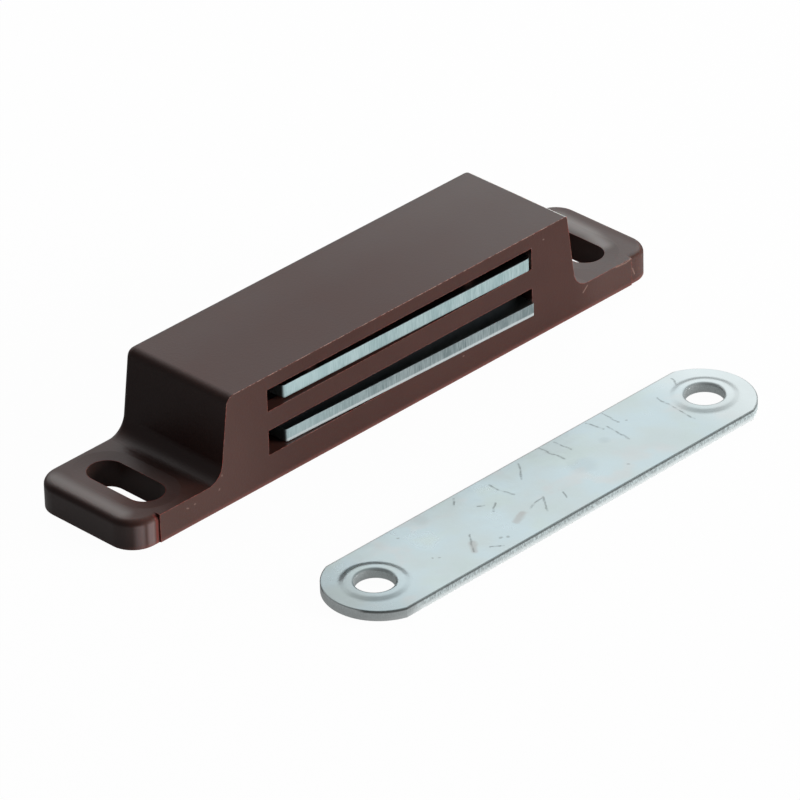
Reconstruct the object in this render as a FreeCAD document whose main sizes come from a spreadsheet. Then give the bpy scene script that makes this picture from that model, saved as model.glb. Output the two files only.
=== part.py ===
import FreeCAD, Part
import math
import os
import re

import Sketcher

# A screw-on magnetic cupboard catch and its strike plate, in millimetres.
# X runs along the housing, Y from its windowed front face to its open back, Z up.
# The origin is the middle of the housing's flat base.

DIMENSIONS = {
    # The magnet pack: a ferrite block between two pole plates, loose in the housing
    "plate_thickness": 1.5,
    "plate_depth": 12.0,
    "plate_corner_radius": 0.4,
    "tongue_length": 37.1,
    "shoulder_length": 44.6,
    "lower_plate_shift": 1.4,
    "lower_plate_reach": 0.15,
    "lower_plate_yaw": -1.84,
    "upper_plate_shift": 1.2,
    "upper_plate_reach": -0.1,
    "upper_plate_yaw": -1.1,
    "magnet_length": 37.0,
    "magnet_depth": 9.0,
    "magnet_height": 4.0,
    "magnet_chamfer": 0.3,
    "magnet_shift": 1.3,
    "magnet_setback": 2.3,
    "magnet_yaw": -1.5,
    # Room around the pack in its chamber
    "pack_clearance": 0.1,
    "end_play": 2.0,
    "back_play": 1.0,
    "shoulder_gap": 1.0,
    "roof_gap": 0.9,
    # The two windows, which a bar parts in front of the magnet
    "tongue_play": 1.6,
    "window_shift": 0.1,
    "gap_under_bar": 1.4,
    "gap_over_bar": 0.25,
    # The moulded housing: a drafted block on a base strip whose ends are the two lugs
    "front_wall": 1.6,
    "roof_wall": 1.65,
    "end_wall": 1.55,
    "end_draft": 1.3,
    "lug_length": 12.85,
    "lug_thickness": 3.4,
    "lug_corner_radius": 3.0,
    "left_end_radius": 1.1,
    "right_end_radius": 0.3,
    "root_radius": 2.2,
    "rim_radius": 0.8,
    # The crisp band behind the front face, a little proud, which ends short of the lugs' ends
    "band_setback": 3.9,
    "band_depth": 1.2,
    "band_step": 0.15,
    # Screw slots, each in a shallow dish
    "slot_setback": 6.35,
    "slot_width": 4.3,
    "slot_length": 10.2,
    "slot_dish_width": 1.6,
    "slot_dish_depth": 0.15,
    # Ribs under the roof that guide the pack, and nibs that keep it from backing out
    "rib_width": 1.2,
    "rib_length": 10.5,
    "rib_spacing": 24.0,
    "nib_length": 8.0,
    "nib_spacing": 28.0,
    "nib_bite": 0.6,
    "nib_crest": 0.5,
    "nib_ramp": 1.1,
    "nib_inset": 0.8,
    # The strike plate, lying flat in front of the housing
    "strike_length": 61.3,
    "strike_width": 11.8,
    "strike_thickness": 1.2,
    "strike_end_radius": 6.25,
    "strike_edge_radius": 0.15,
    "strike_distance": 23.2,
    "strike_shift": -2.6,
    "hole_setback": 5.45,
    "hole_radius": 2.15,
    "hole_lip_radius": 0.4,
    # The collar around each hole, pressed up out of a dent in the strip's underside
    "collar_radius": 3.85,
    "collar_slope": 0.75,
    "collar_height": 0.22,
    "collar_blend": 1.2,
    "dent_depth": 0.3,
}

# Sizes that follow from the ones above: the housing from the pack inside it, the holes from the strike's ends
FITTED = {
    "pack_floor": "<lug_thickness> + <pack_clearance>",
    "magnet_floor": "<pack_floor> + <plate_thickness>",
    "upper_plate_floor": "<magnet_floor> + <magnet_height>",
    "pack_top": "<upper_plate_floor> + <plate_thickness>",
    "chamber_roof": "<pack_top> + <roof_gap>",
    "housing_height": "<chamber_roof> + <roof_wall>",
    "bar_bottom": "<magnet_floor> + <gap_under_bar>",
    "bar_top": "<upper_plate_floor> - <gap_over_bar>",
    "chamber_length": "<shoulder_length> + 2 * <end_play>",
    "block_top_length": "<chamber_length> + 2 * <end_wall>",
    "block_root_length": "<block_top_length> + 2 * <end_draft>",
    "overall_length": "<block_root_length> + 2 * <lug_length>",
    "band_length": "<overall_length> - 2 * <band_setback>",
    "slot_spacing": "<overall_length> - 2 * <slot_setback>",
    "window_length": "<tongue_length> + 2 * <tongue_play>",
    "tongue_depth": "<front_wall> + <shoulder_gap>",
    "housing_depth": "<plate_depth> + <back_play> + <nib_crest> + <nib_ramp> + <nib_inset>",
    "half_depth": "<housing_depth> / 2",
    "nib_stop": "<plate_depth> + <back_play> - <half_depth>",
    "rib_foot": "<pack_top> + <pack_clearance>",
    "floor_nib_height": "<pack_clearance> + <nib_bite>",
    "roof_nib_height": "<roof_gap> + <nib_bite>",
    "hole_spacing": "<strike_length> - 2 * <hole_setback>",
}

Z_AXIS = FreeCAD.Vector(0, 0, 1)

DOCUMENT = FreeCAD.newDocument("MagneticCatch")
SHEET = DOCUMENT.addObject("Spreadsheet::Sheet", "Dims")
FITS = DOCUMENT.addObject("App::VarSet", "Fits")


def qualify(formula):
    """Give each name in angle brackets the object that holds it."""
    def full_name(match):
        name = match.group(1)
        holder = SHEET if name in DIMENSIONS else FITS
        return holder.Name + "." + name
    return re.sub(r"<(\w+)>", full_name, formula)


def fill_sheet():
    """Write each driving dimension into its own aliased cell."""
    for row, (name, value) in enumerate(DIMENSIONS.items(), start=1):
        SHEET.set("A%d" % row, name)
        SHEET.set("B%d" % row, str(value))
        SHEET.setAlias("B%d" % row, name)
    DOCUMENT.recompute()


def work_out_fits():
    """Keep each size that follows from others as a property with its formula."""
    for name, formula in FITTED.items():
        FITS.addProperty("App::PropertyFloat", name, "Fits")
        FITS.setExpression(name, qualify(formula))
    DOCUMENT.recompute()


def size(name):
    """Read a driving or a fitted dimension."""
    if name in DIMENSIONS:
        return float(SHEET.get(name))
    return getattr(FITS, name)


def bind(target, prop, formula):
    """Tie a property to a formula in which each dimension's name stands in angle brackets."""
    target.setExpression(prop, qualify(formula))


def new_body(name):
    body = DOCUMENT.addObject("PartDesign::Body", name)
    body.Label = name
    return body


def new_sketch(body, name, plane, offset=None):
    """Add a sketch on one of the body's own origin planes, moved along its normal."""
    sketch = body.newObject("Sketcher::SketchObject", name)
    support = next(item for item in body.Origin.OriginFeatures if item.Role == plane)
    sketch.AttachmentSupport = [(support, "")]
    sketch.MapMode = "FlatFace"
    if offset:
        bind(sketch, "AttachmentOffset.Base.z", offset)
    return sketch


def point(x, y):
    return FreeCAD.Vector(x, y, 0)


def constrain(sketch, *arguments):
    return sketch.addConstraint(Sketcher.Constraint(*arguments))


def drive(sketch, name, formula, *arguments):
    """Add a dimension to a sketch and tie it to a formula."""
    index = constrain(sketch, *arguments)
    sketch.renameConstraint(index, name)
    bind(sketch, "Constraints." + name, formula)


def join_outline(sketch, pieces):
    """Join each piece of a closed outline to the next one."""
    for here, there in zip(pieces, pieces[1:] + pieces[:1]):
        constrain(sketch, "Coincident", here, 2, there, 1)


def add_polygon(sketch, corners):
    """Draw a closed outline through the corners and return the numbers of its lines."""
    lines = []
    for corner, following in zip(corners, corners[1:] + corners[:1]):
        lines.append(sketch.addGeometry(Part.LineSegment(point(*corner), point(*following)), False))
    join_outline(sketch, lines)
    return lines


def add_rectangle(sketch, left, bottom, right, top):
    """Draw an upright rectangle and return its lines: bottom, right, top and left."""
    lines = add_polygon(sketch, [(left, bottom), (right, bottom), (right, top), (left, top)])
    low, right_side, high, left_side = lines
    for line in (low, high):
        constrain(sketch, "Horizontal", line)
    for line in (right_side, left_side):
        constrain(sketch, "Vertical", line)
    return lines


def add_centred_rectangle(sketch, half, bottom, top):
    """Draw an upright rectangle whose middle stays on the sketch's Y axis and return its lines."""
    lines = add_polygon(sketch, [(-half, bottom), (half, bottom), (half, top), (-half, top)])
    low, right_side, high, left_side = lines
    constrain(sketch, "Symmetric", low, 1, low, 2, -2)
    constrain(sketch, "Horizontal", high)
    for line in (right_side, left_side):
        constrain(sketch, "Vertical", line)
    return lines


def add_pad(body, name, sketch, length, reverse=False):
    pad = body.newObject("PartDesign::Pad", name)
    pad.Profile = sketch
    pad.Reversed = reverse
    bind(pad, "Length", length)
    DOCUMENT.recompute()
    return pad


def add_pocket(body, name, sketch, length, reverse=False):
    """Cut a pocket and make sure that it takes material away."""
    before = body.Tip.Shape.Volume
    pocket = body.newObject("PartDesign::Pocket", name)
    pocket.Profile = sketch
    pocket.Reversed = reverse
    bind(pocket, "Length", length)
    DOCUMENT.recompute()
    if pocket.Shape.Volume >= before:
        raise RuntimeError(name + " cuts nothing")
    return pocket


def add_mirror(body, name, features):
    """Repeat features on the other side of the body's YZ plane."""
    mirror = body.newObject("PartDesign::Mirrored", name)
    mirror.Originals = features
    plane = next(item for item in body.Origin.OriginFeatures if item.Role == "YZ_Plane")
    mirror.MirrorPlane = (plane, [""])
    body.Tip = mirror
    DOCUMENT.recompute()
    return mirror


def edge_names(feature, wanted):
    """Name the edges of a feature's shape for which the test holds."""
    edges = feature.Shape.Edges
    return ["Edge%d" % number for number, edge in enumerate(edges, start=1) if wanted(edge)]


def add_fillet(body, name, radius, wanted):
    base = body.Tip
    fillet = body.newObject("PartDesign::Fillet", name)
    fillet.Base = (base, edge_names(base, wanted))
    bind(fillet, "Radius", radius)
    DOCUMENT.recompute()
    return fillet


def middle_of(edge):
    return edge.valueAt((edge.FirstParameter + edge.LastParameter) / 2)


def near(value, target):
    return abs(value - target) < 1e-4


def is_upright(edge):
    if not isinstance(edge.Curve, Part.Line):
        return False
    return near(abs(edge.Curve.Direction.dot(Z_AXIS)), 1)


def draw_half_profile(body, name, plane_offset, length):
    """Sketch the right half of the housing's front view: a lug and half of the drafted block."""
    sketch = new_sketch(body, name, "XZ_Plane", plane_offset)
    half = size(length) / 2
    height = size("housing_height")
    lug = size("lug_thickness")
    radius = size("root_radius")
    top = point(size("block_top_length") / 2, height)
    root = point(size("block_root_length") / 2, lug)
    draft = math.atan((root.x - top.x) / (height - lug))
    turn = math.pi / 2 - draft
    run = radius * math.tan(turn / 2)
    root_centre = root + point(run, radius)
    root_circle = Part.Circle(root_centre, Z_AXIS, radius)
    base, side, lug_top, root_arc, wall, roof, middle = sketch.addGeometry([
        Part.LineSegment(point(0, 0), point(half, 0)),
        Part.LineSegment(point(half, 0), point(half, lug)),
        Part.LineSegment(point(half, lug), point(root_centre.x, lug)),
        Part.ArcOfCircle(root_circle, -math.pi / 2 - turn, -math.pi / 2),
        Part.LineSegment(root + point(-math.sin(draft), math.cos(draft)) * run, top),
        Part.LineSegment(top, point(0, height)),
        Part.LineSegment(point(0, height), point(0, 0)),
    ], False)
    root_corner = sketch.addGeometry(Part.Point(root), True)
    constrain(sketch, "Coincident", base, 1, -1, 1)
    for here, there in ((base, side), (side, lug_top), (wall, roof), (roof, middle), (middle, base)):
        constrain(sketch, "Coincident", here, 2, there, 1)
    constrain(sketch, "Tangent", lug_top, 2, root_arc, 2)
    constrain(sketch, "Tangent", root_arc, 1, wall, 1)
    for line in (base, lug_top, roof):
        constrain(sketch, "Horizontal", line)
    for line in (side, middle):
        constrain(sketch, "Vertical", line)
    for line in (lug_top, wall):
        constrain(sketch, "PointOnObject", root_corner, 1, line)
    drive(sketch, "half_length", "<" + length + "> / 2", "DistanceX", base, 1, base, 2, half)
    drive(sketch, "lug", "<lug_thickness>", "DistanceY", side, 1, side, 2, lug)
    drive(sketch, "height", "<housing_height>", "DistanceY", middle, 2, middle, 1, height)
    drive(sketch, "half_root", "<block_root_length> / 2", "DistanceX", -1, 1, root_corner, 1, root.x)
    drive(sketch, "half_top", "<block_top_length> / 2", "DistanceX", -1, 1, wall, 2, top.x)
    drive(sketch, "root_radius", "<root_radius>", "Radius", root_arc, radius)
    return sketch


def add_lugs_and_block(body):
    """Make the drafted block on its base strip, whose corners are round seen from above."""
    profile = draw_half_profile(body, "HalfProfile", "<half_depth> - <band_step>", "overall_length")
    half = add_pad(body, "HalfBlock", profile, "<housing_depth> - <band_step>", reverse=True)
    add_mirror(body, "WholeBlock", [half])
    lug_end = size("overall_length") / 2
    add_fillet(body, "LugCorners", "<lug_corner_radius>",
               lambda edge: is_upright(edge) and near(abs(middle_of(edge).x), lug_end))


def add_front_band(body):
    """Add the crisp-edged band behind the front face, which ends just short of the lugs' corners."""
    profile = draw_half_profile(body, "BandProfile", "<half_depth>", "band_length")
    half = add_pad(body, "HalfBand", profile, "<band_depth>", reverse=True)
    add_mirror(body, "FrontBand", [half])


def round_rims(body):
    """Round the roof's two ends, the right one only slightly, and then the rim all along the back."""
    corner = size("block_top_length") / 2
    roof = size("housing_height")
    back = size("half_depth")
    for name, x in (("left", -corner), ("right", corner)):
        add_fillet(body, name.capitalize() + "RoofEnd", "<" + name + "_end_radius>",
                   lambda edge, x=x: near(middle_of(edge).x, x) and near(middle_of(edge).z, roof))
    add_fillet(body, "BackRim", "<rim_radius>",
               lambda edge: near(middle_of(edge).y, back) and middle_of(edge).z > 0.1)


def cut_chamber(body):
    """Hollow the block from the back for the magnet pack."""
    sketch = new_sketch(body, "ChamberOutline", "XZ_Plane", "-<half_depth>")
    length = size("chamber_length")
    floor = size("lug_thickness")
    roof = size("chamber_roof")
    low, _, high, _ = add_centred_rectangle(sketch, length / 2, floor, roof)
    drive(sketch, "length", "<chamber_length>", "DistanceX", low, 1, low, 2, length)
    drive(sketch, "floor_level", "<lug_thickness>", "DistanceY", -1, 1, low, 1, floor)
    drive(sketch, "roof_level", "<chamber_roof>", "DistanceY", -1, 1, high, 1, roof)
    add_pocket(body, "Chamber", sketch, "<housing_depth> - <front_wall>", reverse=True)


def cut_windows(body):
    """Open the two long windows: one on the chamber's floor, the other under its roof."""
    sketch = new_sketch(body, "WindowOutlines", "XZ_Plane", "<half_depth>")
    half = size("window_length") / 2
    shift = size("window_shift")
    spans = (("lower", "lug_thickness", "bar_bottom"), ("upper", "bar_top", "chamber_roof"))
    for name, sill, lintel in spans:
        low, right, high, _ = add_rectangle(sketch, shift - half, size(sill), shift + half, size(lintel))
        drive(sketch, name + "_length", "<window_length>", "DistanceX", low, 1, low, 2, 2 * half)
        drive(sketch, name + "_end", "<window_shift> + <window_length> / 2",
              "DistanceX", -1, 1, right, 1, shift + half)
        drive(sketch, name + "_sill", "<" + sill + ">", "DistanceY", -1, 1, low, 1, size(sill))
        drive(sketch, name + "_lintel", "<" + lintel + ">", "DistanceY", -1, 1, high, 1, size(lintel))
    add_pocket(body, "Windows", sketch, "<front_wall>")


def draw_slot(body, name, level, margin=None):
    """Sketch the right lug's slot, grown by a margin, at a level above the base."""
    sketch = new_sketch(body, name, "XY_Plane", level)
    x = size("slot_spacing") / 2
    radius = size("slot_width") / 2
    reach = size("slot_length") / 2 - radius
    growth = ""
    if margin:
        radius += size(margin)
        growth = " + <" + margin + ">"
    outer, back, inner, front = sketch.addGeometry([
        Part.LineSegment(point(x + radius, -reach), point(x + radius, reach)),
        Part.ArcOfCircle(Part.Circle(point(x, reach), Z_AXIS, radius), 0, math.pi),
        Part.LineSegment(point(x - radius, reach), point(x - radius, -reach)),
        Part.ArcOfCircle(Part.Circle(point(x, -reach), Z_AXIS, radius), math.pi, 2 * math.pi),
    ], False)
    for here, there in ((outer, back), (back, inner), (inner, front), (front, outer)):
        constrain(sketch, "Tangent", here, 2, there, 1)
    constrain(sketch, "Symmetric", outer, 1, outer, 2, -1)
    constrain(sketch, "Equal", back, front)
    drive(sketch, "radius", "<slot_width> / 2" + growth, "Radius", back, radius)
    drive(sketch, "run", "<slot_length> - <slot_width>", "DistanceY", outer, 1, outer, 2, 2 * reach)
    drive(sketch, "place", "<slot_spacing> / 2", "DistanceX", -1, 1, back, 3, x)
    return sketch


def cut_screw_slots(body):
    """Cut a slot along Y through each lug, with a shallow sloping dish around its mouth."""
    outline = draw_slot(body, "SlotOutline", "0")
    slot = add_pocket(body, "Slot", outline, "<lug_thickness>", reverse=True)
    mouth = draw_slot(body, "DishMouth", "<lug_thickness>", "slot_dish_width")
    foot = draw_slot(body, "DishFoot", "<lug_thickness> - <slot_dish_depth>")
    dish = body.newObject("PartDesign::SubtractiveLoft", "SlotDish")
    dish.Profile = mouth
    dish.Sections = [foot]
    dish.Ruled = True
    DOCUMENT.recompute()
    add_mirror(body, "Slots", [slot, dish])


def add_guide_ribs(body):
    """Hang two ribs from the chamber's roof, which stop just above the pack."""
    sketch = new_sketch(body, "RibOutline", "XZ_Plane", "<half_depth> - <front_wall>")
    width = size("rib_width")
    left = (size("rib_spacing") - width) / 2
    foot = size("rib_foot")
    roof = size("chamber_roof")
    low, _, high, _ = add_rectangle(sketch, left, foot, left + width, roof)
    drive(sketch, "width", "<rib_width>", "DistanceX", low, 1, low, 2, width)
    drive(sketch, "place", "(<rib_spacing> - <rib_width>) / 2", "DistanceX", -1, 1, low, 1, left)
    drive(sketch, "foot_level", "<rib_foot>", "DistanceY", -1, 1, low, 1, foot)
    drive(sketch, "roof_level", "<chamber_roof>", "DistanceY", -1, 1, high, 1, roof)
    rib = add_pad(body, "Rib", sketch, "<rib_length>", reverse=True)
    add_mirror(body, "Ribs", [rib])


def draw_nib(sketch, name, level, direction):
    """Sketch one nib from the side: upright towards the pack, with a ramp towards the open back."""
    height = size(name + "_nib_height")
    stop = size("nib_stop")
    crest = stop + size("nib_crest")
    end = crest + size("nib_ramp")
    base = size(level)
    tip = base + direction * height
    foot, ramp, top, face = add_polygon(sketch, [(stop, base), (end, base), (crest, tip), (stop, tip)])
    for line in (foot, top):
        constrain(sketch, "Horizontal", line)
    constrain(sketch, "Vertical", face)
    drive(sketch, name + "_base", "<" + level + ">", "DistanceY", -1, 1, foot, 1, base)
    drive(sketch, name + "_stop", "<nib_stop>", "DistanceX", -1, 1, foot, 1, stop)
    drive(sketch, name + "_foot", "<nib_crest> + <nib_ramp>", "DistanceX", foot, 1, foot, 2, end - stop)
    drive(sketch, name + "_ramp", "<nib_ramp>", "DistanceX", ramp, 2, ramp, 1, end - crest)
    low, high = ((face, 2), (face, 1)) if direction > 0 else ((face, 1), (face, 2))
    drive(sketch, name + "_height", "<" + name + "_nib_height>", "DistanceY", *low, *high, height)


def add_nibs(body):
    """Add ramped nibs on the floor and the roof, which the pack is pressed past when it is fitted."""
    sketch = new_sketch(body, "NibOutlines", "YZ_Plane", "(<nib_spacing> - <nib_length>) / 2")
    draw_nib(sketch, "floor", "lug_thickness", 1)
    draw_nib(sketch, "roof", "chamber_roof", -1)
    nib = add_pad(body, "Nib", sketch, "<nib_length>")
    add_mirror(body, "Nibs", [nib])


def make_housing():
    body = new_body("housing")
    add_lugs_and_block(body)
    add_front_band(body)
    round_rims(body)
    cut_chamber(body)
    cut_windows(body)
    cut_screw_slots(body)
    add_guide_ribs(body)
    add_nibs(body)
    return body


def place(body, x, y, z, yaw=None):
    """Place a body by formulas, turned about Z by a yaw."""
    for axis, formula in zip("xyz", (x, y, z)):
        bind(body, "Placement.Base." + axis, formula)
    if yaw:
        bind(body, "Placement.Rotation.Angle", yaw)


def make_pole_plate(level, floor):
    """Make a pole plate: a tongue that passes its window, and wider shoulders behind the front wall."""
    name = level + "_pole_plate"
    body = new_body(name)
    sketch = new_sketch(body, name + "_outline", "XY_Plane")
    tongue = size("tongue_length") / 2
    shoulder = size("shoulder_length") / 2
    step = size("tongue_depth")
    depth = size("plate_depth")
    front, right_side, right_step, right_end, back, left_end, left_step, left_side = add_polygon(sketch, [
        (-tongue, 0), (tongue, 0), (tongue, step), (shoulder, step),
        (shoulder, depth), (-shoulder, depth), (-shoulder, step), (-tongue, step),
    ])
    for line in (right_step, left_step):
        constrain(sketch, "Horizontal", line)
    for line in (right_side, right_end, left_end, left_side):
        constrain(sketch, "Vertical", line)
    constrain(sketch, "Symmetric", front, 1, front, 2, -2)
    constrain(sketch, "Symmetric", back, 1, back, 2, -2)
    constrain(sketch, "PointOnObject", front, 1, -1)
    constrain(sketch, "Equal", left_side, right_side)
    drive(sketch, "tongue", "<tongue_length>", "DistanceX", front, 1, front, 2, 2 * tongue)
    drive(sketch, "shoulders", "<shoulder_length>", "DistanceX", back, 2, back, 1, 2 * shoulder)
    drive(sketch, "step", "<tongue_depth>", "DistanceY", right_side, 1, right_side, 2, step)
    drive(sketch, "depth", "<plate_depth>", "DistanceY", -1, 1, back, 1, depth)
    add_pad(body, name + "_sheet", sketch, "<plate_thickness>")

    def is_outer_corner(edge):
        middle = middle_of(edge)
        return is_upright(edge) and (near(middle.y, 0) or near(abs(middle.x), shoulder))

    add_fillet(body, name + "_corners", "<plate_corner_radius>", is_outer_corner)
    own = "<" + level + "_plate_"
    place(body, own + "shift>", "-<half_depth> - " + own + "reach>", floor, own + "yaw>")
    return body


def make_magnet():
    """Make the ferrite block that the pole plates lie on, with small chamfers all round."""
    body = new_body("magnet")
    sketch = new_sketch(body, "MagnetOutline", "XY_Plane")
    length = size("magnet_length")
    depth = size("magnet_depth")
    front, side, _, _ = add_centred_rectangle(sketch, length / 2, 0, depth)
    constrain(sketch, "PointOnObject", front, 1, -1)
    drive(sketch, "length", "<magnet_length>", "DistanceX", front, 1, front, 2, length)
    drive(sketch, "depth", "<magnet_depth>", "DistanceY", side, 1, side, 2, depth)
    block = add_pad(body, "MagnetBlock", sketch, "<magnet_height>")
    chamfer = body.newObject("PartDesign::Chamfer", "MagnetChamfers")
    chamfer.Base = (block, edge_names(block, lambda edge: True))
    bind(chamfer, "Size", "<magnet_chamfer>")
    place(body, "<magnet_shift>", "-<half_depth> + <magnet_setback>", "<magnet_floor>", "<magnet_yaw>")
    return body


def make_strike_plate():
    """Make the strike: a strip whose blunt round ends leave slight corners, with two collared holes."""
    body = new_body("strike_plate")
    sketch = new_sketch(body, "StrikeOutline", "XY_Plane")
    half_width = size("strike_width") / 2
    radius = size("strike_end_radius")
    centre = size("strike_length") / 2 - radius
    reach = math.sqrt(radius ** 2 - half_width ** 2)
    corner = math.asin(half_width / radius)
    outline = sketch.addGeometry([
        Part.LineSegment(point(-centre - reach, -half_width), point(centre + reach, -half_width)),
        Part.ArcOfCircle(Part.Circle(point(centre, 0), Z_AXIS, radius), -corner, corner),
        Part.LineSegment(point(centre + reach, half_width), point(-centre - reach, half_width)),
        Part.ArcOfCircle(Part.Circle(point(-centre, 0), Z_AXIS, radius), math.pi - corner, math.pi + corner),
    ], False)
    join_outline(sketch, outline)
    near_side, right_end, far_side, left_end = outline
    for line in (near_side, far_side):
        constrain(sketch, "Horizontal", line)
    constrain(sketch, "PointOnObject", right_end, 3, -1)
    constrain(sketch, "Equal", right_end, left_end)
    constrain(sketch, "Symmetric", right_end, 3, left_end, 3, -2)
    drive(sketch, "end_radius", "<strike_end_radius>", "Radius", right_end, radius)
    drive(sketch, "end_centre", "<strike_length> / 2 - <strike_end_radius>",
          "DistanceX", -1, 1, right_end, 3, centre)
    drive(sketch, "near_half", "<strike_width> / 2", "DistanceY", near_side, 2, -1, 1, half_width)
    drive(sketch, "far_half", "<strike_width> / 2", "DistanceY", -1, 1, far_side, 1, half_width)
    add_pad(body, "StrikeSheet", sketch, "<strike_thickness>")
    thickness = size("strike_thickness")
    add_fillet(body, "ShearedEdge", "<strike_edge_radius>", lambda edge: near(middle_of(edge).z, thickness))
    add_strike_holes(body)
    place(body, "<strike_shift>", "-<half_depth> - <strike_distance>", "0")
    return body


def add_cone(body, kind, name, lower_radius, upper_radius, height, level="0"):
    """Add or cut a cone around the right screw hole's axis, from a level upwards."""
    cone = body.newObject("PartDesign::" + kind + "Cone", name)
    bind(cone, "Radius1", lower_radius)
    bind(cone, "Radius2", upper_radius)
    bind(cone, "Height", height)
    bind(cone, "Placement.Base.x", "<hole_spacing> / 2")
    bind(cone, "Placement.Base.z", level)
    return cone


def add_strike_holes(body):
    """Press up a collar around each screw hole, with a dent below it, and round the hole's lip."""
    crest_radius = "<collar_radius> - <collar_slope>"
    collar = add_cone(body, "Additive", "Collar", "<collar_radius>", crest_radius,
                      "<collar_height>", "<strike_thickness>")
    dent = add_cone(body, "Subtractive", "Dent", crest_radius, crest_radius + " - <collar_slope>",
                    "<dent_depth>")
    hole = body.newObject("PartDesign::SubtractiveCylinder", "ScrewHole")
    bind(hole, "Radius", "<hole_radius>")
    bind(hole, "Height", "<strike_thickness> + <collar_height>")
    bind(hole, "Placement.Base.x", "<hole_spacing> / 2")
    add_mirror(body, "CollarsAndHoles", [collar, dent, hole])
    foot = size("strike_thickness")
    crest = foot + size("collar_height")

    def is_ring(edge, radius, level):
        circle = isinstance(edge.Curve, Part.Circle)
        return circle and near(edge.Curve.Radius, radius) and near(middle_of(edge).z, level)

    def is_lip(edge):
        return is_ring(edge, size("hole_radius"), crest)

    def is_bend(edge):
        at_foot = is_ring(edge, size("collar_radius"), foot)
        return at_foot or is_ring(edge, size("collar_radius") - size("collar_slope"), crest)

    add_fillet(body, "HoleLips", "<hole_lip_radius>", is_lip)
    add_fillet(body, "CollarBends", "<collar_blend>", is_bend)


def check_document():
    """Stop at any object that failed to compute."""
    DOCUMENT.recompute()
    for item in DOCUMENT.Objects:
        if "Invalid" in item.State or "Error" in item.State:
            raise RuntimeError("%s failed: %s" % (item.Name, item.State))


def export(bodies):
    """Write each sub-part to a STEP file that carries its name."""
    os.makedirs("parts", exist_ok=True)
    for body in bodies:
        shape = body.Shape
        if shape.isNull() or not shape.isValid():
            raise RuntimeError(body.Label + " has no valid shape")
        shape.exportStep("parts/" + body.Label + ".step")


fill_sheet()
work_out_fits()
bodies = [
    make_housing(),
    make_pole_plate("lower", "<pack_floor>"),
    make_pole_plate("upper", "<upper_plate_floor>"),
    make_magnet(),
    make_strike_plate(),
]
check_document()
export(bodies)
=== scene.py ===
import math

import bpy
from mathutils import Matrix, Vector


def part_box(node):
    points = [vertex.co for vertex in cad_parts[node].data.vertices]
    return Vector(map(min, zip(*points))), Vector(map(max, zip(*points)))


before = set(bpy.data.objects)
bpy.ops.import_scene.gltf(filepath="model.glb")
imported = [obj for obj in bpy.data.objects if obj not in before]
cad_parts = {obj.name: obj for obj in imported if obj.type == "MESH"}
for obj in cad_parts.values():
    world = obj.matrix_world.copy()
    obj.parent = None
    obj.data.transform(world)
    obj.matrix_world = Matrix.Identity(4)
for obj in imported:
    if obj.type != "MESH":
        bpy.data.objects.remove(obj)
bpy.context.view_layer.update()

# The camera was solved from the straight edges in the photograph: 800 pixels span the sensor's width.
CAMERA_PLACE = Vector((-0.47709, -0.48806, 0.40896))
CAMERA_AZIMUTH = math.radians(-44.78)
CAMERA_ELEVATION = math.radians(31.055)
CAMERA_ROLL = math.radians(-1.529)
CAMERA_LENS = 331.39
SENSOR_WIDTH = 36.0
CAMERA_CLIP = (0.05, 10.0)

# The lamps, which gloss doesn't show: the place, width, height and power of each, and the point that all face
LAMPS = {
    "key": ((0.40, -0.50, 0.15), 0.45, 0.25, 6.3),
    "top": ((0.36, 0.32, 0.44), 0.5, 0.5, 2.7),
}
LIT_POINT = Vector((0, -0.01, 0.006))

# The surround: how strongly it lights the object, how white it is mirrored at its left and at its right, and
# how much whiter where it is brightest
SURROUND_LIGHT = 0.045
SURROUND_MIRRORED = (0.15, 0.35)
SURROUND_BRIGHT = 0.65

# The floor: how much of it is plain white where it is seen, and where it is mirrored, near the object and far
# from it; how much whiter it is mirrored in front of the housing and left of it, and between which Y and X;
# and its shade as a lit surface to the camera and to other rays
FLOOR_SIDE = 4.0
FLOOR_WHITE_SEEN = 0.975
FLOOR_WHITE_MIRRORED = (0.05, 0.15)
FLOOR_MIRRORED_REACH = (0.06, 0.6)
FLOOR_WHITE_FRONT = 0.21
FLOOR_FRONT_EDGE = (-0.004, -0.010)
FLOOR_WHITE_LEFT = 0.22
FLOOR_LEFT_EDGE = (-0.030, -0.043)
FLOOR_LEFT_BACK = (0.014, 0.007)
FLOOR_SHADE_SEEN = 0.9
FLOOR_SHADE_BOUNCED = 0.22

# Colours of the plastic, linear
BROWN = (0.057, 0.0220, 0.0170)
BROWN_LIGHT = (0.062, 0.0245, 0.0190)
# Grey of a sheen painted on upward faces
PAINTED_SHEEN_GREY = (0.145, 0.130, 0.125)
# Colour of the light painted on the front's ends
FRONT_PAINTED_LIGHT = (0.16, 0.100, 0.088)
# Colour of the sheen painted beside the lug slots
SHEEN = (0.29, 0.27, 0.26)
# Colour of the highlight painted on the left lug's corner
CORNER_HIGHLIGHT = (0.235, 0.165, 0.160)
# Paler colour of the slot walls: painted light
SLOT_WALL_LIGHT = (0.13, 0.085, 0.075)
EDGE_RED = (0.28, 0.030, 0.020)
# Pink of the glow painted along the base
BASE_GLOW_PINK = (0.27, 0.105, 0.090)
# Tan of the flash line, which is partly a painted highlight
FLASH_AND_HIGHLIGHT_TAN = (0.52, 0.34, 0.28)
# Colour of the highlight painted on the roof's right end
ROOF_END_HIGHLIGHT = (0.95, 0.92, 0.90)

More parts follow.
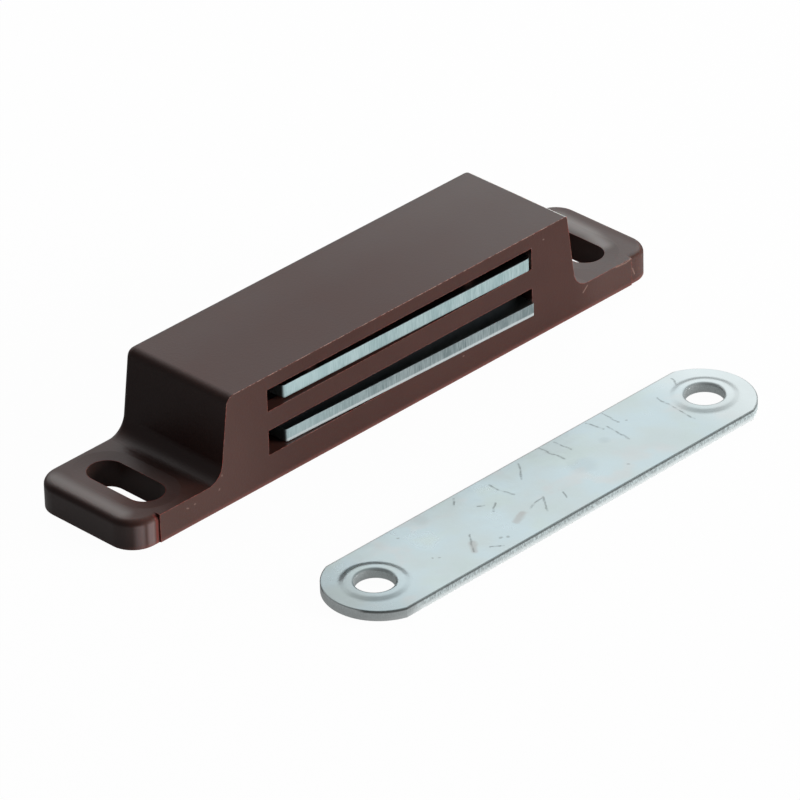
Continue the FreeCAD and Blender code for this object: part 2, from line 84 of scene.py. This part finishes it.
# Colours of the metal parts and the magnet
ZINC = (0.67, 0.775, 0.785)
ZINC_BLUE = (0.64, 0.77, 0.81)
ZINC_GREEN = (0.655, 0.77, 0.76)
ZINC_PINK = (0.695, 0.755, 0.765)
ZINC_WHITE = (0.88, 0.96, 0.97)
EDGE_BLUE = (0.72, 0.95, 0.97)
SIDE_GREY = (0.34, 0.38, 0.385)
SIDE_WHITE = (0.90, 0.95, 0.95)
DARK_ZINC = (0.18, 0.20, 0.195)
# Dark reflection painted on the strike's rolled edge
DARK_REFLECTION = (0.07, 0.08, 0.08)
RUST_BROWN = (0.42, 0.36, 0.33)
# Black of the shade painted on the pole plates
PAINTED_SHADE_BLACK = (0.03, 0.033, 0.036)
FERRITE = (0.018, 0.018, 0.019)

# The pole plates' edges: their dark and light streaks, and how strongly a highlight is painted on the lower
# arris;
# the lower plate's edge is a darker copy of the upper's, which is painted shade
UPPER_EDGE = ((0.36, 0.51, 0.52), (0.55, 0.70, 0.71), 0.0)
LOWER_EDGE = ((0.20, 0.26, 0.27), (0.40, 0.48, 0.49), 0.7)

# Radii over which edges are found or rounded, and heights of the bumps, in metres
THIN_EDGE = 0.00017
PLATE_ARRIS = 0.0002
PLASTIC_BUMP = 0.000012
METAL_BUMP = 0.00002
FERRITE_BUMP = 0.00003

# All places on the surfaces are in millimetres of the shared frame.
# How far the screw slots reach from the housing's middle, and how far each way along Y
SLOT_SPAN = (31.2, 36.1)
SLOT_REACH = 5.4

# A pale sheen painted on the lugs beside the screw slots: both ends of each stroke
SHEEN_STROKES = (
    (37.3, 4.8, 37.1, -0.5),
    (37.1, -0.5, 36.3, -3.3),
    (-38.4, 6.0, -38.5, -4.6),
)
SHEEN_WIDTH = 1.5

# Where the front band ends on the left lug, where a highlight is painted on its corner in two upright bands,
# and where the roof's right end begins
BAND_END = -36.41
CORNER_HIGHLIGHT_BANDS = (-38.5, -37.2)
CORNER_HIGHLIGHT_WIDTH = 0.7
ROOF_END = 24.8

# Nicks and crumbs on the housing's front face: both ends of each in X and Z
NICKS = (
    (33.6, 3.3, 35.2, 3.2),
    (35.2, 3.2, 36.0, 3.35),
    (28.3, 2.4, 29.0, 3.0),
    (36.4, 1.9, 36.7, 1.1),
    (-32.2, 2.4, -32.0, 2.3),
    (-31.1, 2.4, -31.0, 2.4),
    (-27.5, 2.5, -27.4, 2.6),
    (-27.2, 5.1, -27.2, 5.2),
    (-27.0, 4.0, -27.0, 4.1),
    (22.1, 11.7, 22.2, 11.7),
    (9.4, 2.6, 9.5, 2.6),
)
NICK_WIDTH = 0.12

# Handling marks on the strike plate: both ends of each stroke
STROKES = (
    (-6.2, -26.6, -6.2, -28.1),
    (-6.2, -28.1, -5.8, -29.7),
    (-1.0, -25.8, -2.9, -28.2),
    (2.7, -25.3, 3.0, -28.7),
    (4.7, -25.5, 4.9, -27.9),
    (-1.9, -33.1, -2.5, -34.2),
    (-6.6, -32.8, -4.0, -32.3),
    (-4.0, -32.3, -5.8, -34.5),
    (-8.3, -29.5, -9.7, -30.4),
    (-10.0, -28.5, -9.5, -28.9),
    (-10.6, -25.6, -11.6, -26.5),
    (-14.9, -35.0, -13.7, -35.9),
    (-14.6, -31.7, -16.7, -34.4),
    (18.7, -27.5, 18.3, -33.4),
    (10.8, -27.6, 10.6, -31.0),
    (12.5, -25.4, 12.3, -27.7),
    (9.8, -25.4, 10.2, -27.6),
    (22.8, -25.9, 22.2, -27.3),
)
STROKE_WIDTH = 0.16

# Soft brown stains on it, given by both ends too
STAINS = (
    (-9.6, -33.6, -7.8, -33.0),
    (-15.6, -33.2, -16.6, -34.4),
)
STAIN_WIDTH = 0.6

# Its dark specks and faint clouds: the middle and radius of each
SPECKS = (
    (-12.9, -34.5, 0.28),
    (-12.3, -35.0, 0.32),
    (12.3, -27.8, 0.22),
    (13.2, -28.2, 0.20),
    (6.8, -34.5, 0.24),
    (-20.2, -26.7, 0.22),
    (-20.5, -32.1, 0.18),
    (-20.0, -32.6, 0.18),
)
CLOUDS = (
    (-16.1, -26.0, 1.3),
    (8.6, -29.3, 0.9),
    (3.4, -31.0, 2.2),
)


def add_node(tree, kind, inputs=None, **settings):
    """Add a node, set its properties, and link or set its inputs, which are named or numbered."""
    made = tree.nodes.new(kind)
    for key, value in settings.items():
        setattr(made, key, value)
    for key, value in (inputs or {}).items():
        if isinstance(value, bpy.types.NodeSocket):
            tree.links.new(value, made.inputs[key])
        else:
            made.inputs[key].default_value = value
    return made


def math_node(tree, operation, *values):
    return add_node(tree, "ShaderNodeMath", dict(enumerate(values)), operation=operation).outputs[0]


def chain(tree, operation, first, *others):
    """Take all the values together, two at a time."""
    for other in others:
        first = math_node(tree, operation, first, other)
    return first


def product(tree, *values):
    return chain(tree, "MULTIPLY", *values)


def total(tree, *values):
    return chain(tree, "ADD", *values)


def largest(tree, *values):
    return chain(tree, "MAXIMUM", *values)


def difference(tree, first, second):
    return math_node(tree, "SUBTRACT", first, second)


def absolute(tree, value):
    return math_node(tree, "ABSOLUTE", value)


def remap(tree, value, low, high, to_low=0.0, to_high=1.0):
    """Lead a value smoothly from one range to another, with nothing past its ends."""
    made = add_node(tree, "ShaderNodeMapRange",
                    {"Value": value, "From Min": low, "From Max": high, "To Min": to_low, "To Max": to_high},
                    interpolation_type="SMOOTHSTEP")
    return made.outputs[0]


def near_value(tree, value, target, reach):
    """1 where a value is at its target, falling to 0 at some reach from it."""
    return remap(tree, absolute(tree, difference(tree, value, target)), reach, 0.3 * reach)


def vector_node(tree, operation, *vectors):
    made = add_node(tree, "ShaderNodeVectorMath", dict(enumerate(vectors)), operation=operation)
    return made.outputs["Value" if operation in ("DOT_PRODUCT", "DISTANCE") else "Vector"]


def split(tree, vector):
    parts = add_node(tree, "ShaderNodeSeparateXYZ", {0: vector})
    return parts.outputs["X"], parts.outputs["Y"], parts.outputs["Z"]


def in_millimetres(tree):
    """Places on the object in its own frame, in millimetres."""
    place = add_node(tree, "ShaderNodeTexCoord").outputs["Object"]
    return vector_node(tree, "MULTIPLY", place, (1000.0, 1000.0, 1000.0))


def box_in_millimetres(node):
    return [[1000 * part for part in corner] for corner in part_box(node)]


def flattened(tree, place):
    return vector_node(tree, "MULTIPLY", place, (1.0, 1.0, 0.0))


def stretched(tree, place, scale, turn=0.0):
    """Turn places about Z and then stretch them, so that a noise read there runs in streaks."""
    turned = add_node(tree, "ShaderNodeMapping", {"Vector": place, "Rotation": (0, 0, turn)})
    return vector_node(tree, "MULTIPLY", turned.outputs[0], scale)


def facing(tree):
    """The surface's own direction, as its X, Y and Z parts."""
    return split(tree, add_node(tree, "ShaderNodeTexCoord").outputs["Normal"])


def upright_share(tree):
    """1 on upright surfaces, 0 on level ones."""
    return remap(tree, absolute(tree, facing(tree)[2]), 0.85, 0.45)


def noise(tree, place, scale, detail=2.0, rough=0.5):
    made = add_node(tree, "ShaderNodeTexNoise",
                    {"Vector": place, "Scale": scale, "Detail": detail, "Roughness": rough})
    return made.outputs["Fac"]


def mix_colours(tree, share, first, second):
    made = add_node(tree, "ShaderNodeMix", data_type="RGBA")
    for key, value in ((0, share), (6, first), (7, second)):
        if isinstance(value, bpy.types.NodeSocket):
            tree.links.new(value, made.inputs[key])
        elif key == 0:
            made.inputs[key].default_value = value
        else:
            made.inputs[key].default_value = (*value, 1)
    return made.outputs[2]


def bump(tree, height, distance, under=None):
    inputs = {"Height": height, "Distance": distance}
    if under:
        inputs["Normal"] = under
    return add_node(tree, "ShaderNodeBump", inputs).outputs[0]


def rounded_normal(tree, radius):
    return add_node(tree, "ShaderNodeBevel", {"Radius": radius}, samples=8).outputs[0]


def edge_mask(tree, radius):
    """1 on convex and concave edges, 0 away from them."""
    true_normal = add_node(tree, "ShaderNodeNewGeometry").outputs["Normal"]
    alike = vector_node(tree, "DOT_PRODUCT", rounded_normal(tree, radius), true_normal)
    return remap(tree, alike, 0.995, 0.80)


def from_strokes(tree, flat_place, strokes):
    """Distance to the nearest of some straight strokes between two places each."""
    nearest = 10.0
    for x_start, y_start, x_end, y_end in strokes:
        start = Vector((x_start, y_start, 0))
        run = Vector((x_end, y_end, 0)) - start
        direction = run.normalized()
        offset = vector_node(tree, "SUBTRACT", flat_place, start)
        along = vector_node(tree, "DOT_PRODUCT", offset, direction)
        along = math_node(tree, "MINIMUM", math_node(tree, "MAXIMUM", along, 0.0), run.length)
        foot = add_node(tree, "ShaderNodeVectorMath", {0: direction, "Scale": along}, operation="SCALE")
        away = vector_node(tree, "DISTANCE", offset, foot.outputs[0])
        nearest = math_node(tree, "MINIMUM", away, nearest)
    return nearest


def spots(tree, flat_place, rounds):
    """1 in the middle of each of some round spots, 0 outside."""
    most = 0.0
    for x, y, radius in rounds:
        away = vector_node(tree, "DISTANCE", flat_place, (x, y, 0))
        most = largest(tree, remap(tree, away, radius, 0.3 * radius), most)
    return most


def new_material(name):
    material = bpy.data.materials.new(name)
    material.use_nodes = True
    tree = material.node_tree
    return material, tree, tree.nodes["Principled BSDF"]


def attach(tree, shader, **sockets):
    """Link or set the shader's inputs; an underscore in a name stands for a space."""
    for key, value in sockets.items():
        socket = shader.inputs[key.replace("_", " ")]
        if isinstance(value, bpy.types.NodeSocket):
            tree.links.new(value, socket)
        else:
            socket.default_value = value


def plastic_colour(tree, place, mottle):
    """Brown, with painted sheen on upward faces and by the lug slots, painted light in the slots and on the
    front's ends, a painted highlight on the left lug's corner and a painted pink glow along the base.
    """
    across, depth, height = split(tree, place)
    _, backward, skyward = facing(tree)
    upward = remap(tree, skyward, 0.7, 0.95)
    colour = mix_colours(tree, remap(tree, mottle, 0.35, 0.65), BROWN, BROWN_LIGHT)

    # A sheen painted on upward faces, growing towards the right and towards the back, and weaker on the right
    # lug's outer end
    painted_sheen = total(tree, remap(tree, across, -8.0, 34.0, 0.0, 0.52), remap(tree, depth, -1.0, 6.0, 0.0, 0.10))
    painted_sheen = product(tree, painted_sheen, upward, remap(tree, across, 39.4, 37.9, 0.3, 1.0))
    colour = mix_colours(tree, painted_sheen, colour, PAINTED_SHEEN_GREY)

    # A sheen painted beside the screw slots, stronger on the right lug
    sheen = remap(tree, from_strokes(tree, flattened(tree, place), SHEEN_STROKES), SHEEN_WIDTH, 0.0)
    sheen = product(tree, sheen, upward, remap(tree, across, -20.0, 20.0, 0.55, 0.95))
    colour = mix_colours(tree, sheen, colour, SHEEN)

    # Light painted on the slot walls, which are made paler
    inner, outer = SLOT_SPAN
    outward = absolute(tree, across)
    in_slots = product(
        tree,
        remap(tree, outward, inner - 0.3, inner),
        remap(tree, outward, outer + 0.3, outer),
        remap(tree, absolute(tree, depth), SLOT_REACH, SLOT_REACH - 0.2),
        remap(tree, skyward, 0.4, 0.1),
        0.6,
    )
    colour = mix_colours(tree, in_slots, colour, SLOT_WALL_LIGHT)

    # Light painted on the front faces towards both ends
    front_painted_light = total(tree, remap(tree, across, -12.0, -30.0, 0.0, 0.24), remap(tree, across, 26.0, 32.0, 0.0, 0.26))
    front_painted_light = product(tree, front_painted_light, remap(tree, backward, -0.7, -0.95))
    colour = mix_colours(tree, front_painted_light, colour, FRONT_PAINTED_LIGHT)

    # A highlight painted on the left lug's corner in two upright bands
    corner_highlight = largest(tree, *[near_value(tree, across, middle, CORNER_HIGHLIGHT_WIDTH) for middle in CORNER_HIGHLIGHT_BANDS])
    corner_highlight = product(tree, corner_highlight, remap(tree, depth, -5.5, -6.5), remap(tree, skyward, 0.5, 0.1), 0.8)
    colour = mix_colours(tree, corner_highlight, colour, CORNER_HIGHLIGHT)
    # A pink glow painted along the base
    return mix_colours(tree, remap(tree, height, 0.6, 0.0, 0.0, 0.5), colour, BASE_GLOW_PINK)


def plastic_edges(tree, place, colour):
    """Painted red light through thin edges, tan flash that is partly a painted highlight, nicks along the
    front, and a highlight painted on the roof's right end.
    """
    across, depth, height = split(tree, place)
    rightward, _, skyward = facing(tree)
    low, high = box_in_millimetres("housing")
    edges = edge_mask(tree, THIN_EDGE)

    patchy = remap(tree, noise(tree, place, 1.1), 0.35, 0.62, 0.45, 1.0)
    thin = product(tree, edges, patchy, remap(tree, across, -25.0, -26.5, 0.62, 0.95))
    band_end = near_value(tree, across, BAND_END, 0.3)
    band_end = product(tree, band_end, remap(tree, depth, low[1] + 0.8, low[1] + 0.5), 0.4)
    colour = mix_colours(tree, largest(tree, thin, band_end), colour, EDGE_RED)

    # Tan flash along the front's edges, partly a painted highlight, strongest near the top
    at_front = remap(tree, depth, low[1] + 0.26, low[1] + 0.14)
    crumbs = remap(tree, noise(tree, place, 2.2, 3.0, 0.7), 0.42, 0.58)
    most_on_top = remap(tree, height, high[2] - 1.6, high[2] - 0.4, 0.30, 0.9)
    flash_and_highlight = product(tree, edges, at_front, remap(tree, height, 0.8, 1.4), crumbs, most_on_top)
    front_place = add_node(tree, "ShaderNodeCombineXYZ", {0: across, 1: height, 2: 0.0}).outputs[0]
    nicks = remap(tree, from_strokes(tree, front_place, NICKS), NICK_WIDTH, 0.3 * NICK_WIDTH)
    flash_and_highlight = largest(tree, flash_and_highlight, product(tree, nicks, at_front, 0.33))
    colour = mix_colours(tree, flash_and_highlight, colour, FLASH_AND_HIGHLIGHT_TAN)

    # A highlight painted on the roof's right end, strongest towards the front
    roof_end_highlight = product(
        tree,
        remap(tree, rightward, 0.06, 0.25),
        remap(tree, skyward, 0.13, 0.30),
        remap(tree, across, ROOF_END, ROOF_END + 0.4),
        remap(tree, height, high[2] - 1.0, high[2] - 0.6),
        remap(tree, depth, 0.0, -3.5, 0.6, 1.0),
    )
    return mix_colours(tree, roof_end_highlight, colour, ROOF_END_HIGHLIGHT)


def brown_plastic():
    """Satin moulded plastic that lets a little red light through."""
    material, tree, shader = new_material("brown_plastic")
    place = in_millimetres(tree)
    mottle = noise(tree, place, 0.16, 2.0, 0.5)
    attach(
        tree, shader,
        Base_Color=plastic_edges(tree, place, plastic_colour(tree, place, mottle)),
        Roughness=remap(tree, mottle, 0.3, 0.7, 0.33, 0.37),
        Specular_IOR_Level=0.5,
        Subsurface_Weight=0.10,
        Subsurface_Radius=(1.0, 0.16, 0.08),
        Subsurface_Scale=0.0006,
        Normal=bump(tree, noise(tree, place, 3.4, 3.0, 0.6), PLASTIC_BUMP),
    )
    return material


def plating(tree, place):
    """The colour of bright zinc plating, a faint bloom of blue, green and pink, and the bloom's own noise."""
    bloom = noise(tree, place, 0.16, 2.0, 0.5)
    tint = noise(tree, stretched(tree, place, (0.22, 0.25, 0.25), 0.4), 1.0, 2.0, 0.5)
    colour = mix_colours(tree, remap(tree, bloom, 0.38, 0.62), ZINC_BLUE, ZINC)
    colour = mix_colours(tree, remap(tree, tint, 0.50, 0.70, 0.0, 0.8), colour, ZINC_GREEN)
    return mix_colours(tree, remap(tree, tint, 0.42, 0.28, 0.0, 0.8), colour, ZINC_PINK), bloom


def strike_marks(tree, place):
    """Strokes, stains, specks and clouds on the strike plate, each 0 to 1."""
    wobble = add_node(tree, "ShaderNodeTexNoise", {"Vector": place, "Scale": 0.9, "Detail": 1.0})
    shaken = vector_node(tree, "MULTIPLY_ADD", wobble.outputs["Color"], (0.5, 0.5, 0.0), (-0.25, -0.25, 0.0))
    flat_place = flattened(tree, vector_node(tree, "ADD", place, shaken))
    strokes = remap(tree, from_strokes(tree, flat_place, STROKES), STROKE_WIDTH, 0.3 * STROKE_WIDTH)
    strokes = product(tree, strokes, remap(tree, noise(tree, place, 1.7), 0.35, 0.60, 0.25, 1.0))
    stains = remap(tree, from_strokes(tree, flat_place, STAINS), STAIN_WIDTH, 0.2 * STAIN_WIDTH)
    return strokes, stains, spots(tree, flat_place, SPECKS), spots(tree, flat_place, CLOUDS)


def strike_side(tree, place, low, high):
    """The colour of the sheared side below its rolled edge with a painted dark reflection, its grit, and where
    it shines.
    """
    across, depth, height = split(tree, place)
    off_middle = absolute(tree, difference(tree, depth, (low[1] + high[1]) / 2))
    grit = noise(tree, stretched(tree, place, (7.0, 7.0, 3.5)), 1.0, 3.0, 0.7)
    side = mix_colours(tree, remap(tree, grit, 0.34, 0.68), SIDE_GREY, ZINC)
    side = mix_colours(tree, remap(tree, height, 0.65, 0.1, 0.0, 0.85), side, SIDE_WHITE)
    shiny = largest(tree, remap(tree, across, low[0] + 8.0, low[0] + 3.0), remap(tree, off_middle, 3.2, 2.2))
    side = mix_colours(tree, product(tree, shiny, 0.7), side, SIDE_WHITE)
    # A dark reflection painted on the rolled edge
    rolled = product(tree, remap(tree, height, 0.84, 1.02), remap(tree, off_middle, 2.2, 3.2), 0.8)
    return mix_colours(tree, rolled, side, DARK_REFLECTION), grit, shiny


def strike_finish():
    """Zinc-plated strip with handling marks and a gritty side."""
    material, tree, shader = new_material("zinc_plated_strip")
    place = in_millimetres(tree)
    across, depth, _ = split(tree, place)
    low, high = box_in_millimetres("strike_plate")
    colour, bloom = plating(tree, place)
    # Paler towards the right end and darker towards the left end
    right_end = remap(tree, across, high[0] - 11.0, high[0] - 2.0, 0.0, 0.8)
    colour = mix_colours(tree, right_end, colour, ZINC_WHITE)
    left_end = remap(tree, across, low[0] + 10.0, low[0], 0.0, 0.34)
    colour = mix_colours(tree, left_end, colour, DARK_ZINC)

    strokes, stains, specks, clouds = strike_marks(tree, place)
    for marks, strength, tone in (
            (clouds, 0.10, DARK_ZINC), (stains, 0.40, RUST_BROWN), (strokes, 0.36, DARK_ZINC), (specks, 0.45, DARK_ZINC)):
        colour = mix_colours(tree, product(tree, marks, strength), colour, tone)
    far_line = remap(tree, depth, high[1] - 0.32, high[1] - 0.14, 0.0, 0.35)
    colour = mix_colours(tree, far_line, colour, RUST_BROWN)

    upright = upright_share(tree)
    side, grit, shiny = strike_side(tree, place, low, high)
    dull = product(tree, upright, remap(tree, shiny, 0.0, 1.0, 0.7, 0.15))
    rough = total(tree, remap(tree, bloom, 0.3, 0.7, 0.27, 0.33), product(tree, strokes, 0.15),
                  product(tree, upright, 0.20))
    relief = difference(tree, noise(tree, place, 0.9, 2.0), product(tree, strokes, 0.5))
    relief = total(tree, relief, product(tree, upright, grit))
    attach(
        tree, shader,
        Base_Color=mix_colours(tree, upright, colour, side),
        Metallic=difference(tree, 1.0, dull),
        Roughness=rough,
        Normal=bump(tree, relief, METAL_BUMP),
    )
    return material


def pole_edge(tree, place, low, streaks, edge_finish):
    """The colour of a pole plate's blanked edge, with a painted highlight on its lower arris and painted shade
    where it faces left and deep in the window.
    """
    across, depth, height = split(tree, place)
    dark, light, lit_line = edge_finish
    edge = mix_colours(tree, remap(tree, streaks, 0.36, 0.64), dark, light)
    edge = mix_colours(tree, remap(tree, across, 2.0, -17.0, 0.0, 0.40), edge, EDGE_BLUE)
    # A highlight painted along the lower arris
    arris = product(tree, remap(tree, height, low[2] + 0.45, low[2] + 0.22), lit_line)
    edge = mix_colours(tree, arris, edge, ZINC_WHITE)
    # Shade painted where the edge faces left and deep in the window
    shaded = largest(tree, remap(tree, facing(tree)[0], -0.5, -0.85, 0.0, 0.85),
                     remap(tree, depth, low[1] + 1.6, low[1] + 2.1, 0.0, 0.75))
    return mix_colours(tree, shaded, edge, PAINTED_SHADE_BLACK)


def pole_finish(name, node, edge_finish):
    """Zinc-plated steel sheet whose blanked edges carry fine upright streaks."""
    material, tree, shader = new_material(name)
    place = in_millimetres(tree)
    colour, bloom = plating(tree, place)
    # The plating is darkened a little: shade painted deep in the chamber
    colour = mix_colours(tree, 0.15, colour, PAINTED_SHADE_BLACK)
    upright = upright_share(tree)
    fine = noise(tree, stretched(tree, place, (7.0, 7.0, 0.6)), 1.0, 2.0, 0.65)
    broad = noise(tree, stretched(tree, place, (0.5, 0.5, 0.1)), 1.0, 1.0, 0.5)
    streaks = total(tree, product(tree, fine, 0.65), product(tree, broad, 0.35))
    edge = pole_edge(tree, place, box_in_millimetres(node)[0], streaks, edge_finish)
    attach(
        tree, shader,
        Base_Color=mix_colours(tree, upright, colour, edge),
        Metallic=remap(tree, upright, 0.0, 1.0, 1.0, 0.42),
        Roughness=total(tree, remap(tree, bloom, 0.3, 0.7, 0.30, 0.36), product(tree, upright, 0.10)),
        Normal=bump(tree, product(tree, upright, fine), METAL_BUMP, rounded_normal(tree, PLATE_ARRIS)),
    )
    return material


def ferrite():
    """Matt black sintered ferrite with a coarse grain."""
    material, tree, shader = new_material("ferrite")
    grain = noise(tree, in_millimetres(tree), 2.6, 4.0, 0.65)
    lighter = tuple(2.2 * part for part in FERRITE)
    attach(
        tree, shader,
        Base_Color=mix_colours(tree, remap(tree, grain, 0.4, 0.7), FERRITE, lighter),
        Roughness=remap(tree, grain, 0.3, 0.7, 0.55, 0.75),
        Normal=bump(tree, grain, FERRITE_BUMP),
    )
    return material


def dress_frame():
    """Give every CAD node its finish."""
    finishes = {
        "housing": brown_plastic(),
        "upper_pole_plate": pole_finish("upper_plate_steel", "upper_pole_plate", UPPER_EDGE),
        "lower_pole_plate": pole_finish("lower_plate_steel", "lower_pole_plate", LOWER_EDGE),
        "magnet": ferrite(),
        "strike_plate": strike_finish(),
    }
    for node, material in finishes.items():
        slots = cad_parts[node].data.materials
        slots.clear()
        slots.append(material)


def ray_kinds(tree):
    """Whether a ray comes from the camera, and whether it comes by gloss or through glass: each 0 or 1."""
    path = add_node(tree, "ShaderNodeLightPath")
    mirrored = largest(tree, path.outputs["Is Glossy Ray"], path.outputs["Is Transmission Ray"])
    return path.outputs["Is Camera Ray"], mirrored


def floor_in_mirrors(tree):
    """How white the floor is mirrored: darkest near the object, and whiter in front of it and left of it."""
    place = add_node(tree, "ShaderNodeTexCoord").outputs["Object"]
    across, depth, _ = split(tree, place)
    away = vector_node(tree, "DISTANCE", place, (0, 0, 0))
    in_front = remap(tree, depth, *FLOOR_FRONT_EDGE, 0.0, FLOOR_WHITE_FRONT)
    at_left = product(tree, remap(tree, across, *FLOOR_LEFT_EDGE), remap(tree, depth, *FLOOR_LEFT_BACK),
                      FLOOR_WHITE_LEFT)
    return total(tree, remap(tree, away, *FLOOR_MIRRORED_REACH, *FLOOR_WHITE_MIRRORED), in_front, at_left)


def make_floor():
    """A white floor that shows as nearly pure white and keeps a faint shadow."""
    bpy.ops.mesh.primitive_plane_add(size=FLOOR_SIDE, location=(0, 0, 0))
    floor = bpy.context.object
    floor.name = "floor"
    material, tree, shader = new_material("white_floor")
    tree.nodes.remove(shader)
    seen, mirrored = ray_kinds(tree)
    shade = mix_colours(tree, seen, (FLOOR_SHADE_BOUNCED,) * 3, (FLOOR_SHADE_SEEN,) * 3)
    lit = add_node(tree, "ShaderNodeBsdfDiffuse", {"Color": shade})
    glow = add_node(tree, "ShaderNodeEmission", {"Color": (1, 1, 1, 1), "Strength": 1.0})
    white = total(tree, product(tree, seen, FLOOR_WHITE_SEEN), product(tree, mirrored, floor_in_mirrors(tree)))
    both = add_node(tree, "ShaderNodeMixShader", {0: white, 1: lit.outputs[0], 2: glow.outputs[0]})
    tree.links.new(both.outputs[0], tree.nodes["Material Output"].inputs[0])
    floor.data.materials.append(material)


def light_world():
    """A white surround that lights only faintly, and is mirrored brightest half-way up behind the object."""
    world = bpy.data.worlds.new("studio")
    bpy.context.scene.world = world
    world.use_nodes = True
    tree = world.node_tree
    background = tree.nodes["Background"]
    seen, mirrored = ray_kinds(tree)
    rightward, behind, above = split(tree, add_node(tree, "ShaderNodeTexCoord").outputs["Generated"])
    bright = product(
        tree,
        remap(tree, rightward, -0.45, 0.35),
        remap(tree, behind, -0.25, 0.45),
        remap(tree, above, 0.05, 0.48),
        remap(tree, above, 0.92, 0.62, 0.3, 1.0),
        SURROUND_BRIGHT,
    )
    shown = total(tree, remap(tree, rightward, -0.45, 0.35, *SURROUND_MIRRORED), bright)
    strength = largest(tree, product(tree, mirrored, shown), SURROUND_LIGHT)
    tree.links.new(largest(tree, seen, strength), background.inputs["Strength"])
    background.inputs["Color"].default_value = (1, 1, 1, 1)


def add_lights():
    """Add the rectangular lamps, each turned to face the same point on the object."""
    for name, (place, width, height, power) in LAMPS.items():
        lamp = bpy.data.lights.new(name, "AREA")
        lamp.shape = "RECTANGLE"
        lamp.size = width
        lamp.size_y = height
        lamp.energy = power
        holder = bpy.data.objects.new(name, lamp)
        holder.location = place
        holder.rotation_euler = (LIT_POINT - Vector(place)).to_track_quat("-Z", "Y").to_euler()
        holder.visible_glossy = False
        bpy.context.collection.objects.link(holder)


def add_camera():
    """Add the photograph's camera."""
    camera = bpy.data.cameras.new("camera")
    camera.lens = CAMERA_LENS
    camera.sensor_width = SENSOR_WIDTH
    camera.clip_start, camera.clip_end = CAMERA_CLIP
    holder = bpy.data.objects.new("camera", camera)
    across = Vector((math.cos(CAMERA_AZIMUTH), math.sin(CAMERA_AZIMUTH), 0))
    back = Vector((
        math.sin(CAMERA_AZIMUTH) * math.cos(CAMERA_ELEVATION),
        -math.cos(CAMERA_AZIMUTH) * math.cos(CAMERA_ELEVATION),
        math.sin(CAMERA_ELEVATION),
    ))
    above = back.cross(across)
    right = across * math.cos(CAMERA_ROLL) + above * math.sin(CAMERA_ROLL)
    up = above * math.cos(CAMERA_ROLL) - across * math.sin(CAMERA_ROLL)
    turn = Matrix((right, up, back)).transposed().to_4x4()
    holder.matrix_world = Matrix.Translation(CAMERA_PLACE) @ turn
    bpy.context.collection.objects.link(holder)
    bpy.context.scene.camera = holder


bpy.context.scene.view_settings.view_transform = "Standard"
dress_frame()
make_floor()
light_world()
add_lights()
add_camera()
